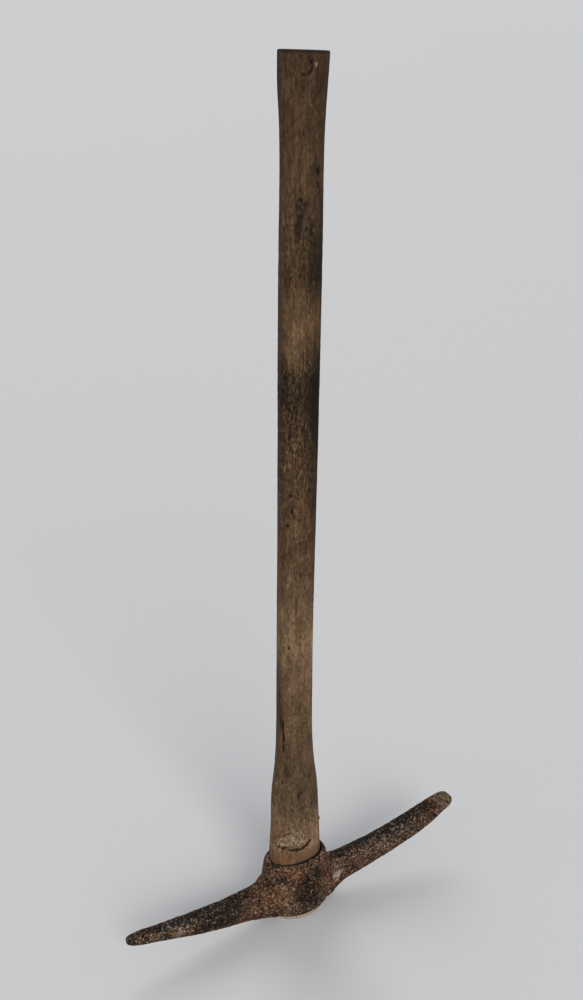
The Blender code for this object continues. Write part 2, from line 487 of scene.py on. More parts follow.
# How dark each kind of wear is painted, as dirt and painted shade in its hollows and the painted shadow
# under the split lip, and how much of that is even and how much follows the rough grain.
WOOD_SHADE_AND_DIRT = {
    "pits": (0.6, 1.0, 0.0),
    "holes": (1.1, 1.0, 0.4),
    "cracks": (1.2, 1.0, 0.4),
    # painted shadow: the lip's cut face and edges are darkened as the shade under the overhanging lip
    "lip_cut": (0.4, 0.7, 1.3),
    "lip_edges": (0.76, 0.9, 0.5),
    "arch": (0.82, 1.0, 0.0),
    "hook": (0.75, 0.9, 0.5),
    "checks": (0.3, 1.0, 0.0),
    "splinter": (1.0, 1.0, 0.0),
}


def ring_heights():
    foot = np.linspace(0.0, FOOT_ZONE, round(FOOT_ZONE / FOOT_RING_STEP), endpoint=False)
    shaft = np.linspace(FOOT_ZONE, HANDLE_LENGTH, round((HANDLE_LENGTH - FOOT_ZONE) / SHAFT_RING_STEP))
    edges = np.array([0.25, 0.5, 0.8]) * MM
    return np.unique(np.concatenate([foot, shaft, edges, HANDLE_LENGTH - edges]))


def skin_radii(node, heights, angles):
    """Distance from the Z axis to a CAD node's outer skin at each height and angle."""
    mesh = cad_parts[node].data
    tree = BVHTree.FromPolygons([v.co for v in mesh.vertices], [p.vertices for p in mesh.polygons])
    radii = np.zeros((len(heights), len(angles)))
    for j, angle in enumerate(angles):
        outward = Vector((math.cos(angle), math.sin(angle), 0.0))
        for i, height in enumerate(heights):
            start = outward * RAY_START
            start.z = height
            hit = tree.ray_cast(start, -outward)[0]
            radii[i, j] = math.hypot(hit.x, hit.y)
    return radii


def smooth_radii(heights, angles):
    """The CAD handle's radii at each height and angle, with the facets smoothed out."""
    inside_the_ends = np.clip(heights, BUTT_ROUND, HANDLE_LENGTH - GRIP_ROUND - 1.0 * MM)
    radii = skin_radii("handle", inside_the_ends, angles)
    radii = softened(radii, 1, SMOOTHING_ROUND, True)
    return softened(radii, 0, SMOOTHING_ALONG, False)


def around(turns, turn):
    """Signed difference of two turns in degrees, from -180 to 180."""
    return (turns - turn + 180.0) % 360.0 - 180.0


class Skin:
    """The smooth handle as a grid of points, with what its wear needs to know of every point."""

    def __init__(self):
        heights = ring_heights()
        self.angles = np.linspace(0, 2 * math.pi, SIDES, endpoint=False)
        self.radii = smooth_radii(heights, self.angles)
        self.z = np.repeat(heights[:, None], SIDES, axis=1)
        self.points = self.with_radii(self.radii)
        self.turns = np.degrees(np.arctan2(self.points[..., 0], -self.points[..., 1]))
        self.arc = self.radii * math.pi / 180.0
        self.exposed = ramp(self.z, RIM_TOP, RIM_TOP + WEATHERED_ABOVE_RIM)
        self.waves = self.noise(26, 110, 31)
        self.rough = self.noise(1.8, 3.5, 41)
        self.blots = self.noise(5, 12, 61, 3)

    def with_radii(self, radii):
        return np.stack([radii * np.cos(self.angles), radii * np.sin(self.angles), self.z], axis=-1)

    def noise(self, across, along, seed, layers=2):
        """Noise with waves of the given lengths in mm, across the grain and along it."""
        return layered_noise(self.points, np.array((across, across, along)) * MM, seed, layers)

    def facing(self, turn, spread):
        """1 at the turn, falling off smoothly with the spread, both in degrees."""
        return np.exp(-((around(self.turns, turn) / spread) ** 2))

    def spots(self, places, wander=0.0):
        """The sum of soft oval spots of the given strength. Wander moves them round, in degrees."""
        total = np.zeros(self.z.shape)
        for height, turn, tall, wide, strength in places:
            up = (self.z - height * MM) / (tall * MM)
            across = around(self.turns + wander, turn) * self.arc / (wide * MM)
            total += strength * np.exp(-(up ** 2 + across ** 2))
        return total


def bands_between(bands, heights):
    """Each column of the bands, filled in on straight lines for the given heights."""
    places = np.array([band[0] for band in bands]) * MM
    return [
        np.interp(heights, places, [band[column] for band in bands])
        for column in range(1, len(bands[0]))
    ]


def wood_tone(skin):
    """How light the wood is, and how rugged, at every point."""
    *tones, ruggedness = bands_between(TONE_BANDS, skin.z)
    weights = [skin.facing(turn, TONE_SPREAD) for turn in TONE_TURNS]
    tone = sum(weight * value for weight, value in zip(weights, tones)) / (sum(weights) + 1e-6)
    back = ramp(np.abs(around(skin.turns, TONE_TURNS[1])), BACK_STARTS, BACK_FULL)
    return tone * (1 - back) + (BACK_TONE + BACK_TONE_LEFT_SHARE * tones[0]) * back, ruggedness


def lip_wear(skin):
    """The lip where a strip of wood has split away, with the clean band of wood below it."""
    jag = skin.noise(3, 40, 81, 3)
    across = around(skin.turns, LIP_TURN) / LIP_HALF_TURN
    left_rise = LIP_LEFT_RISE * np.abs(across) ** LIP_LEFT_CURVE
    rise = np.where(across < 0, left_rise, LIP_RIGHT_RISE * across ** 2)
    there = ramp(around(skin.turns, LIP_LEFT_TURN), -3.0, 5.0)
    there = there * ramp(around(skin.turns, LIP_RIGHT_TURN), 3.0, -5.0)
    above = (skin.z - LIP_LOW - rise - jag * LIP_JAG) / MM
    top = LIP_TALL_MM * (0.55 + 0.45 * ramp(np.abs(across), 1.1, 0.3)) * (1 + 0.5 * jag)
    low_edge = 0.88 + 0.27 * ramp(across, -0.55, 0.1)
    high_edge = 0.75 * (1.1 - 0.5 * low_edge)
    edges = low_edge * np.exp(-((above - 0.4) / (0.9 + 0.5 * low_edge)) ** 2)
    edges += high_edge * np.exp(-((above - top) / 0.8) ** 2)
    return {
        "lip_cut": there * ramp(above, -0.6, 0.5) * ramp(above, top + 0.7, top - 0.5),
        "lip_edges": there * edges,
        "lip_stand": there * ramp(above, top - 0.3, top + 1.2) * ramp(above, LIP_STAND_MM, 3.0),
        "band": ramp(above, 0.5, -1.0) * skin.exposed,
    }


def arch_wear(skin):
    across = around(skin.turns, ARCH_TURN) / ARCH_HALF_TURN
    line = ARCH_HIGH - ARCH_SAG * across ** 2
    return {"arch": ramp(np.abs(across), 1.1, 0.8) * np.exp(-(((skin.z - line) / ARCH_THICK) ** 2))}


def knot_wear(skin):
    """The hook-shaped crack, open at one side, and the dished knot in it."""
    up = skin.z - KNOT_HEIGHT
    across = around(skin.turns, KNOT_TURN) * skin.arc
    distance = np.hypot(up, across)
    angle = np.degrees(np.arctan2(up, across))
    there = 0.55 + 0.45 * ramp(np.abs(around(angle, KNOT_OPEN_TO + 180.0)), 120.0, 80.0)
    return {
        "hook": there * np.exp(-(((distance - KNOT_RADIUS) / HOOK_THICK) ** 2)),
        "dish": np.exp(-((distance / KNOT_DISH_RADIUS) ** 2)),
    }


def grain_wear(skin):
    """Fine grain, drying checks, pits, small holes, long broken cracks and the splinter."""
    pitted = ramp(skin.noise(30, 60, 57), -0.1, 0.6)
    pits = bowls(skin.points, (2.6 * MM, 2.6 * MM, 6 * MM), 51, 0.22) * (0.25 + 0.75 * pitted)
    wander = skin.noise(30, 6, 71) * 2.2
    crack_gaps = ramp(skin.noise(20, 8, 75), -0.40, 0.05)
    splinter_up = (skin.z - SPLINTER_HEIGHT) / SPLINTER_HALF_HEIGHT
    splinter_across = around(skin.turns, SPLINTER_TURN) * skin.arc / SPLINTER_HALF_WIDTH
    return {
        "grain": skin.noise(3.2, 70, 11),
        "checks": (1 - np.abs(skin.noise(7, 130, 21))) ** 14,
        "pits": pits,
        "holes": skin.spots(HOLES),
        "cracks": skin.spots(CRACKS, wander) * (0.15 + 0.85 * crack_gaps),
        "splinter": np.exp(-(splinter_up ** 2 + splinter_across ** 2)),
    }


def worn_relief(skin, wear, ruggedness):
    """How far wear moves the surface outward, in metres."""
    lift = {name: WOOD_RELIEF[name] * wear[name] for name in wear if name in WOOD_RELIEF}
    weathering = WOOD_RELIEF["waves"] * skin.waves
    weathering += (lift["grain"] + lift["checks"]) * (1 - 0.6 * wear["band"])
    weathering += WOOD_RELIEF["rough"] * skin.rough * ruggedness
    weathering -= np.maximum(wear["holes"], wear["cracks"])
    damage = lift["pits"] + lift["lip_cut"] + lift["lip_edges"] + lift["lip_stand"]
    damage += WOOD_RELIEF["lip_fray"] * skin.rough * wear["lip_stand"]
    damage += lift["arch"] + lift["hook"] + lift["dish"] + SPLINTER_STANDS * wear["splinter"]
    return (weathering * skin.exposed + damage) * MM


def end_rounding(skin):
    """How far the worn, rounded ends draw in."""
    total = np.zeros(skin.z.shape)
    for distance, rounding in ((skin.z, BUTT_ROUND), (HANDLE_LENGTH - skin.z, GRIP_ROUND)):
        reach = rounding * (1 + 0.25 * skin.blots)
        t = np.clip(1 - distance / reach, 0, 1)
        total += reach * (1 - np.sqrt(np.clip(1 - t ** 2, 0, 1)))
    return total


def foot_swelling(skin):
    """How far the butt and the foot above the rim stand out beyond the CAD solid."""
    total = BUTT_SWELL * skin.facing(BUTT_SWELL_TURN, BUTT_SWELL_SPREAD)
    total = total * ramp(skin.z, 5.5 * MM, 2.5 * MM)
    above_rim = ramp(skin.z, 72 * MM, 83 * MM) * ramp(skin.z, 130 * MM, 94 * MM)
    for turn, spread, swell in FOOT_SWELLS:
        total += swell * skin.facing(turn, spread) * above_rim
    return total


# Painted shade and dirt in the cracks, checks, holes, pits and knot crack, and the painted shadow under
# the split lip.
def shade_and_dirt_in_grooves(skin, wear):
    total = np.zeros(skin.z.shape)
    for name, (darkness, even, with_grain) in WOOD_SHADE_AND_DIRT.items():
        total += darkness * wear[name] * (even + with_grain * skin.rough)
    return total


def dirt_and_shade(skin, wear):
    """The dark stains and the knot, with painted shade at the edge of the grip end and a painted shade
    line along the rim.
    """
    total = skin.spots(DARK_STAINS) * np.clip(1 + 0.5 * skin.blots + 0.6 * skin.rough, 0, 2)
    total += 0.5 * wear["dish"]
    # painted shade: a dark band round the edge of the grip end, for the shaded cut edge
    total += 0.9 * ramp(skin.z, HANDLE_LENGTH - 3.5 * MM, HANDLE_LENGTH - 1.0 * MM)
    # painted shade: a dark line on the wood just above the rim, where the wood goes into the gap
    above_rim = (skin.z - RIM_TOP) / MM - RIM_SHADE_UP - 0.6 * skin.blots
    return total + 0.9 * np.exp(-((above_rim / RIM_SHADE_TALL) ** 2))


def wood_marks(skin, wear, tone, ruggedness):
    """What the wood's material reads from the mesh."""
    grey = np.interp(skin.z / MM, GREY_HEIGHTS, GREY_SHARES) * (1 - 0.6 * wear["band"])
    return {
        "groove_shade_and_dirt": shade_and_dirt_in_grooves(skin, wear),
        "tone": tone * (1 + 0.12 * skin.waves) / TONE_FULL_SCALE,
        "rugged": ruggedness / RUGGED_FULL_SCALE,
        "stain_and_shade": dirt_and_shade(skin, wear),
        "pale": skin.spots(PALE_PATCHES) * np.clip(0.75 + 1.3 * skin.rough + 0.3 * skin.blots, 0, 2),
        "red": skin.spots(RED_PATCHES) * (1 + 0.5 * skin.blots) * skin.exposed,
        "grey": grey * skin.exposed + 0.3 * wear["lip_stand"],
        "smooth": wear["band"],
        "fresh": ramp(skin.z + 1.2 * MM * skin.blots, EYE_BOTTOM, EYE_BOTTOM - 3 * MM),
        "end_grain": np.zeros(skin.z.shape),
    }


def make_handle():
    skin = Skin()
    wear = {**lip_wear(skin), **arch_wear(skin), **knot_wear(skin), **grain_wear(skin)}
    wear["pits"] = wear["pits"] * skin.exposed * (1 - wear["band"])
    tone, ruggedness = wood_tone(skin)
    relief = worn_relief(skin, wear, ruggedness) - end_rounding(skin) + foot_swelling(skin)
    points = skin.with_radii(skin.radii + relief)
    near_grip = ramp(skin.z, HANDLE_LENGTH - GRIP_CUT_REACH, HANDLE_LENGTH)
    slope_starts = -0.75 * HANDLE_HIGH.x
    points[..., 2] += near_grip * (GRIP_RISE - GRIP_CUT_SLOPE * (points[..., 0] - slope_starts))

    points, faces, marks = close_ends(points, wood_marks(skin, wear, tone, ruggedness))
    piece = make_piece("worn_handle", points, faces)
    add_marks(piece, marks)
    piece.data.materials.append(wood_material())
    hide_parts("handle")
    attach(piece, "handle")


def cap_ring(edge, middle, step, down):
    """A ring across a cut end, so many steps in from its edge, with saw marks and drying checks."""
    share = 1 - step / CAP_RINGS
    ring = middle + (edge - middle) * share
    saw = np.abs(layered_noise(ring, (1.6 * MM, 30 * MM, 30 * MM), 91)) * 0.12 * MM
    check = (1 - np.abs(layered_noise(ring, (9 * MM, 3 * MM, 9 * MM), 95))) ** 12
    depth = (saw + 0.5 * MM * check * share) * min(1.0, step / 2)
    ring[:, 2] += depth if down else -depth
    return ring, check


def cap_mark(name, at_edge, check, step):
    """The value of a mark on a ring across a cut end."""
    if name == "end_grain":
        return np.full(len(at_edge), min(1.0, step / 2))
    # painted shade and dirt in the drying checks of the cut end
    if name == "groove_shade_and_dirt":
        return 0.8 * check
    if name == "stain_and_shade":
        return 0.3 * at_edge
    return at_edge


def close_ends(points, marks):
    """Adds rings across both cut ends and returns the flat lists of points, faces and marks."""
    rings, sides = points.shape[:2]
    flat = [points.reshape(-1, 3)]
    flat_marks = {name: [values.ravel()] for name, values in marks.items()}
    faces = []
    column = np.arange(sides)
    following = (column + 1) % sides

    def bridge(lower, upper):
        quads = np.stack([lower[column], lower[following], upper[following], upper[column]], axis=-1)
        faces.extend(quads.tolist())

    index = np.arange(rings * sides).reshape(rings, sides)
    for i in range(rings - 1):
        bridge(index[i], index[i + 1])
    used = rings * sides
    for row, down in ((0, True), (rings - 1, False)):
        middle = points[row].mean(axis=0)
        outer = index[row]
        for step in range(1, CAP_RINGS):
            ring, check = cap_ring(points[row], middle, step, down)
            flat.append(ring)
            for name in marks:
                flat_marks[name].append(cap_mark(name, marks[name][row], check, step))
            inner = used + column
            used += sides
            lower, upper = (inner, outer) if down else (outer, inner)
            bridge(lower, upper)
            outer = inner
        flat.append(middle[None, :])
        for name in marks:
            flat_marks[name].append(np.array([1.0 if name == "end_grain" else 0.0]))
        tip = used
        used += 1
        for a, b in zip(outer[column], outer[following]):
            faces.append((int(b), int(a), tip) if down else (int(a), int(b), tip))
    points = np.concatenate(flat)
    return points, faces, {name: np.concatenate(parts) for name, parts in flat_marks.items()}


# ---------------------------------------------------------------- the head

HEAD_VOXEL = 0.95 * MM
# How often and how strongly the CAD edges are eased, and again where the arms meet the eye block.
EDGE_PASSES = 4
EDGE_EASING = 0.55
FILLET_PASSES = 2
FILLET_EASING = 0.5
ARM_ROOT = 41 * MM
ARM_ROOT_SPREAD = 9 * MM
RIDGE_PASSES = 12
# Where the dark top of each arm starts, and where it ends at both tips.
CHISEL_TOP_STARTS = 46 * MM
POINT_TOP_STARTS = 84 * MM
ARM_TOP_FADES = 176 * MM
ARM_TOP_ENDS = 196 * MM
BOX_MARGIN = 0.1 * MM
# The next lists are places on the iron: ((centre), (reach along each axis), strength), in mm.
RUST_ORANGE = (
    ((-29, -20, 44), (12, 12, 14), 1.15),
    ((-37, -13, 35), (10, 12, 11), 0.7),
    ((35, -15, 32), (6, 10, 20), 0.9),
    ((-8, -24, 67), (20, 14, 8), 0.8),
    ((24, -18, 74), (14, 12, 8), 0.5),
    ((-50, -10, 26), (14, 8, 10), 0.4),
    ((20, 22, 46), (20, 14, 18), 0.9),
    ((-38, 12, 46), (10, 12, 16), 0.6),
    ((40, 12, 30), (9, 12, 14), 0.6),
)
SCALE_BLACK = (
    ((-1, -27, 46), (15, 16, 18), 1.25),
    ((13, -23, 62), (9, 10, 11), 0.9),
    ((5, -28, 26), (15, 14, 10), 0.7),
    ((-102, -7, 37), (27, 20, 18), 1.6),
    ((-200, -5, 47), (10, 8, 7), 1.1),
    ((150, -6, 62), (18, 12, 12), 0.75),
    ((118, -6, 62), (30, 10, 6), 0.5),
    ((-66, 4, 46), (18, 20, 6), 0.4),
    ((-20, 26, 40), (16, 14, 20), 0.9),
    ((110, 8, 52), (40, 6, 20), 0.6),
    ((-130, 8, 44), (30, 6, 16), 0.6),
)
GREY_LIGHT = (
    ((-150, -8, 39), (38, 8, 8), 0.9),
    ((-141, -8, 43), (5, 4, 4), 0.7),
    ((95, -9, 46), (50, 9, 14), 0.65),
    ((150, -9, 58), (45, 9, 12), 0.8),
    ((47, -12, 31), (5, 6, 7), 1.0),
    ((6, -28, 15), (14, 8, 6), 0.7),
    ((-34, -10, 66), (8, 20, 14), 0.5),
    ((150, 9, 52), (40, 6, 10), 0.6),
    ((-160, 7, 40), (30, 6, 8), 0.6),
)
RUST_RED = (
    ((25, -19, 68), (11, 10, 13), 1.0),
    ((35, -16, 34), (7, 10, 20), 0.8),
    ((-10, -25, 67), (16, 8, 9), 0.5),
    ((-46, -10, 32), (12, 10, 12), 0.3),
    ((-20, 24, 60), (20, 8, 12), 0.6),
)
TIP_OLIVE = (((202, 0, 73), (14, 16, 12), 1.0), ((-205, -3, 44), (5, 8, 8), 0.6))
BARE_SPOTS = (
    ((46.5, -12, 30), (5.5, 6, 6), 1.2),
    ((55, -9, 34), (8, 5, 6), 0.5),
    ((-145, -8, 38), (7, 5, 4), 0.45),
    ((48, -11, 41), (7, 6, 6), 0.55),
    ((-60, -9, 24), (10, 5, 4), 0.3),
    ((-36, -12, 76), (9, 14, 5), 0.2),
    ((160, 9, 52), (9, 5, 6), 0.6),
)
# Where the iron stands out beyond the CAD solid, with the swell in mm as the strength.
SWELLS = (
    ((-37, 0, 58), (9, 22, 24), 1.5),
    ((-38, -8, 50), (6, 10, 9), 0.6),
    ((207, -5, 69), (7, 9, 9), 2.0),
    ((-204, -3, 44), (6, 8, 8), 1.0),
)
FRONT_RIM_RISE = 1.5 * MM


def place_blobs(blobs, points):
    """The sum of soft round zones, given as centre and reach in mm and a strength."""
    total = np.zeros(len(points))
    for centre, reach, strength in blobs:
        away = (points / MM - np.array(centre)) / np.array(reach)
        total += strength * np.exp(-(away ** 2).sum(axis=1))
    return total


class Net:
    """Which points of a mesh are joined by an edge."""

    def __init__(self, mesh):
        ends = np.zeros(len(mesh.edges) * 2, np.int32)
        mesh.edges.foreach_get("vertices", ends)
        self.first, self.second = ends.reshape(-1, 2).T
        self.counts = np.bincount(ends, minlength=len(mesh.vertices)).astype(float)[:, None]

    def means(self, values):
        """The mean over each point's neighbours, for every column of the values."""
        total = np.zeros(values.shape)
        for column in range(values.shape[1]):
            total[:, column] = np.bincount(self.first, values[self.second, column], len(values))
            total[:, column] += np.bincount(self.second, values[self.first, column], len(values))
        return total / self.counts

    def eased(self, points, weight, passes):
        for _ in range(passes):
            points = points + (self.means(points) - points) * weight
        return points


def inside_eye(points):
    """Whether each point lies in the eye's hole, with a small margin."""
    up = (points[:, 2] - EYE_BOTTOM) / (RIM_TOP - EYE_BOTTOM)
    sizes = [low + (high - low) * up for low, high in zip(EYE_AT_BOTTOM, EYE_AT_TOP)]
    half_width, half_depth, shift = sizes
    across = points[:, 0] / (half_width + EYE_MARGIN)
    along = (points[:, 1] - shift) / (half_depth + EYE_MARGIN)
    return across ** 2 + along ** 2 < 1


def remeshed_head():
    """The CAD head as an even, closed mesh of small quads."""
    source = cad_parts["pick_head"]
    rough = bpy.data.objects.new("rough_head", source.data.copy())
    bpy.context.scene.collection.objects.link(rough)
    weld = rough.modifiers.new("weld", "WELD")
    weld.merge_threshold = 0.00001
    even = rough.modifiers.new("even", "REMESH")
    even.mode = "VOXEL"
    even.voxel_size = HEAD_VOXEL
    seen = rough.evaluated_get(bpy.context.evaluated_depsgraph_get())
    mesh = bpy.data.meshes.new_from_object(seen)
    bpy.data.objects.remove(rough)
    mesh.name = "forged_head"
    mesh.materials.clear()
    return mesh


def write_points(mesh, points):
    mesh.vertices.foreach_set("co", points.ravel())
    mesh.update()


def pitting(points):
    """The depth of the small pits, which cluster, and of the scattered large ones."""
    clusters = ramp(layered_noise(points, 22 * MM, 161), -0.5, 0.3)
    small = bowls(points, 3.4 * MM, 141, 0.6) * (0.35 + 0.65 * clusters)
    large = bowls(points, 8 * MM, 151, 0.35)
    return small, large


def forged_relief(points, normals, small_pits, large_pits):
    """How far forging, rust and wear move the surface outward, in mm."""
    relief = 0.32 * layered_noise(points, 15 * MM, 111)
    relief += 0.16 * layered_noise(points, 5 * MM, 121)
    relief += 0.09 * layered_noise(points, 2.2 * MM, 131)
    relief -= 0.42 * small_pits + 0.3 * large_pits
    upright = ramp(np.abs(normals[:, 2]), 0.9, 0.5)
    return relief + place_blobs(SWELLS, points) * upright


def dark_arm_tops(points, normals):
    """1 on the upper faces of both arms, short of their tips."""
    reach = np.abs(points[:, 0])
    starts = np.where(points[:, 0] > 0, CHISEL_TOP_STARTS, POINT_TOP_STARTS)
    along = ramp(reach - starts, -8 * MM, 8 * MM) * ramp(reach, ARM_TOP_ENDS, ARM_TOP_FADES)
    return ramp(normals[:, 2], 0.45, 0.85) * along


def iron_zones(points, normals):
    """The marks for the iron's differently coloured places."""
    patchy = 1 + 0.6 * layered_noise(points, 7 * MM, 171, 3)
    black = place_blobs(SCALE_BLACK, points) + 0.85 * dark_arm_tops(points, normals)
    return {
        "orange": place_blobs(RUST_ORANGE, points) * patchy,
        "black": black * patchy,
        "light": place_blobs(GREY_LIGHT, points) * patchy,
        "red": place_blobs(RUST_RED, points) * patchy,
        "olive": place_blobs(TIP_OLIVE, points),
        "bare": place_blobs(BARE_SPOTS, points) * patchy,
    }


def make_head():
    mesh = remeshed_head()
    net = Net(mesh)
    points = vertex_array(mesh, "co")
    in_eye = inside_eye(points)
    arm_root = np.exp(-(((np.abs(points[:, 0]) - ARM_ROOT) / ARM_ROOT_SPREAD) ** 2)) * ~in_eye
    points = net.eased(points, EDGE_EASING, EDGE_PASSES)
    points = net.eased(points, FILLET_EASING * arm_root[:, None], FILLET_PASSES)
    write_points(mesh, points)
    normals = vertex_array(mesh, "normal")
    stands_out = points - net.eased(points, 0.5, RIDGE_PASSES)
    ridge = np.einsum("ij,ij->i", stands_out, normals) / MM
    outside = net.means((~in_eye).astype(float)[:, None])[:, 0]

    small_pits, large_pits = pitting(points)
    relief = forged_relief(points, normals, small_pits, large_pits) * outside * MM
    points = points + normals * relief[:, None]
    points = np.clip(points, np.array(HEAD_LOW) + BOX_MARGIN, np.array(HEAD_HIGH) - BOX_MARGIN)
    front_rim = ramp(points[:, 2], 60 * MM, 76 * MM) * ramp(points[:, 1], -2 * MM, -13 * MM)
    points[:, 2] += FRONT_RIM_RISE * front_rim
    write_points(mesh, points)
    mesh.shade_smooth()

    piece = bpy.data.objects.new("forged_head", mesh)
    bpy.context.scene.collection.objects.link(piece)
    marks = iron_zones(points, normals)
    marks["pit"] = 0.9 * small_pits + 0.4 * large_pits
    marks["edge"] = ramp(ridge, 0.06, 0.28) * outside
    # painted shade: the inside of the eye is coloured nearly black, as the shade in the hole
    marks["inside"] = 1 - outside
    add_marks(piece, marks)
    mesh.materials.append(iron_material())
    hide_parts("pick_head")
    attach(piece, "head")


# ---------------------------------------------------------------- materials

SHINE = 0.10
# Colour ramps as (position, colour) stops, tints that multiply a colour, and plain colours.
WOOD_TONES = (
    (0.00, (0.010, 0.0062, 0.0036)),
    (0.30, (0.041, 0.0243, 0.0130)),
    (0.50, (0.069, 0.0415, 0.0220)),
    (0.72, (0.110, 0.0690, 0.0360)),
    (1.00, (0.240, 0.1650, 0.0900)),
)
PALE_WOOD = ((0.3, (0.165, 0.127, 0.089)), (0.7, (0.425, 0.345, 0.262)))
FRESH_WOOD = ((0.3, (0.20, 0.150, 0.110)), (0.7, (0.45, 0.37, 0.29)))
END_RINGS = ((0.0, (0.028, 0.018, 0.011)), (1.0, (0.070, 0.046, 0.028)))
WARM_WOOD = (1.12, 0.90, 0.76)
GREY_WOOD = (0.98, 1.04, 1.12)
RED_WOOD = (1.15, 0.84, 0.72)
DIRT_AND_SHADE = (0.011, 0.0072, 0.0050)
END_DIRT_AND_SHADE = (0.012, 0.008, 0.006)
GROOVE_SHADE_AND_DIRT = (0.007, 0.0042, 0.003)
IRON_TONES = (
    (0.08, (0.011, 0.0060, 0.0033)),
    (0.36, (0.036, 0.0198, 0.0108)),
    (0.58, (0.076, 0.0430, 0.0235)),
    (0.92, (0.178, 0.1090, 0.0650)),
)
RUST_TONES = (
    (0.12, (0.024, 0.0110, 0.0062)),
    (0.50, (0.120, 0.0580, 0.0310)),
    (0.85, (0.290, 0.1680, 0.0960)),
)
OLIVE_TONES = ((0.25, (0.060, 0.0430, 0.0250)), (0.7, (0.190, 0.1420, 0.0860)))
# pale rust specks and painted glints
PALE_SPECKS_AND_GLINTS = ((0.35, (0.110, 0.075, 0.051)), (0.65, (0.340, 0.262, 0.203)))
BARE_IRON = ((0.35, (0.220, 0.148, 0.108)), (0.65, (0.600, 0.470, 0.370)))
RED_IRON = (1.04, 0.85, 0.84)
WARM_IRON = (1.06, 0.95, 0.90)
COLD_IRON = (0.97, 1.01, 1.04)
GREY_IRON = (0.90, 1.00, 1.06)
BLACK_IRON = (0.14, 0.147, 0.178)
# grey specks and painted glints on the black scale
BLACK_SCALE_SPECKS_AND_GLINTS = (0.125, 0.113, 0.112)
SCALE_DARK = (0.0070, 0.0046, 0.0034)
PIT_DARK = (0.006, 0.0038, 0.0027)
# painted shade inside the eye
INSIDE_EYE_SHADE = (0.012, 0.008, 0.006)


class Graph:
    """A material's node graph, with short ways to add the nodes that the surfaces share."""

    def __init__(self, name):
        self.material = bpy.data.materials.new(name)
        self.material.use_nodes = True
        self.tree = self.material.node_tree
        self.shader = self.tree.nodes["Principled BSDF"]
        self.place = self.add("TexCoord").outputs["Object"]

    def add(self, kind, inputs=None, **settings):
        """A node; each input is a number, a colour or another node's socket."""
        node = self.tree.nodes.new("ShaderNode" + kind)
        for name, value in settings.items():
            setattr(node, name, value)
        for key, value in (inputs or {}).items():
            self.feed(node.inputs[key], value)
        return node

    def feed(self, socket, value):
        if isinstance(value, bpy.types.NodeSocket):
            self.tree.links.new(value, socket)
        else:
            socket.default_value = value

    def mark(self, name):
        return self.add("Attribute", attribute_name=name).outputs["Fac"]

    def noise(self, place, size, detail=4.0, roughness=0.6, warp=0.0):
        """Noise from 0 to 1 whose main waves have the given size in metres."""
        settings = {"Vector": place, "Scale": 1.0 / size, "Detail": detail}
        settings.update({"Roughness": roughness, "Distortion": warp})
        return self.add("TexNoise", settings).outputs["Fac"]

    def grain(self, drawn, size, detail, roughness, warp=0.0):
        """Noise that is drawn out along Z: the smaller the number, the longer it is."""
        place = self.add("Mapping", {"Vector": self.place, "Scale": (1.0, 1.0, drawn)}).outputs["Vector"]
        return self.noise(place, size, detail, roughness, warp)

    def math(self, operation, a, b=0.0, c=0.0):
        return self.add("Math", {0: a, 1: b, 2: c}, operation=operation).outputs[0]

    def times(self, a, b):
        return self.math("MULTIPLY", a, b)

    def times_plus(self, a, factor, plus):
        return self.math("MULTIPLY_ADD", a, factor, plus)

    def weighted(self, start, *parts):
        """The start plus each (noise, weight), with the noise taken from its middle value."""
        total = start
        for value, weight in parts:
            total = self.math("ADD", total, self.times_plus(value, weight, -0.5 * weight))
        return total

    def between(self, value, low, high, to_low=0.0, to_high=1.0):
        """The value carried over smoothly from one range to another."""
        inputs = {"Value": value, "From Min": low, "From Max": high, "To Min": to_low, "To Max": to_high}
        return self.add("MapRange", inputs, interpolation_type="SMOOTHSTEP").outputs["Result"]

    def colours(self, value, stops):
        """A colour ramp with the given (position, colour) stops."""
        node = self.add("ValToRGB", {"Fac": value})
        elements = node.color_ramp.elements
        while len(elements) < len(stops):
            elements.new(1.0)
        for element, (position, colour) in zip(elements, stops):
            element.position = position
            element.color = (*colour, 1.0)
        return node.outputs["Color"]

    def mix(self, share, a, b, mode="MIX"):
        node = self.add("Mix", data_type="RGBA", blend_type=mode)
        for socket, value in ((node.inputs[0], share), (node.inputs[6], a), (node.inputs[7], b)):
            if isinstance(value, tuple):
                value = (*value, 1.0)
            self.feed(socket, value)
        return node.outputs[2]

    def tinted(self, colour, tint):
        return self.mix(1.0, colour, tint, "MULTIPLY")

    def scaled(self, colour, factor):
        node = self.add("VectorMath", {0: colour}, operation="SCALE")
        self.feed(node.inputs["Scale"], factor)
        return node.outputs[0]

    def finish(self, colour, roughness, bumps):
        """Links colour and roughness, and a chain of bumps given as (height, distance in metres)."""
        self.feed(self.shader.inputs["Base Color"], colour)
        self.feed(self.shader.inputs["Roughness"], roughness)
        self.shader.inputs["Specular IOR Level"].default_value = SHINE
        normal = None
        for height, distance in bumps:
            bump = self.add("Bump", {"Height": height, "Distance": distance, "Strength": 1.0})
            if normal is not None:
                self.feed(bump.inputs["Normal"], normal)
            normal = bump.outputs["Normal"]
        self.feed(self.shader.inputs["Normal"], normal)
        return self.material


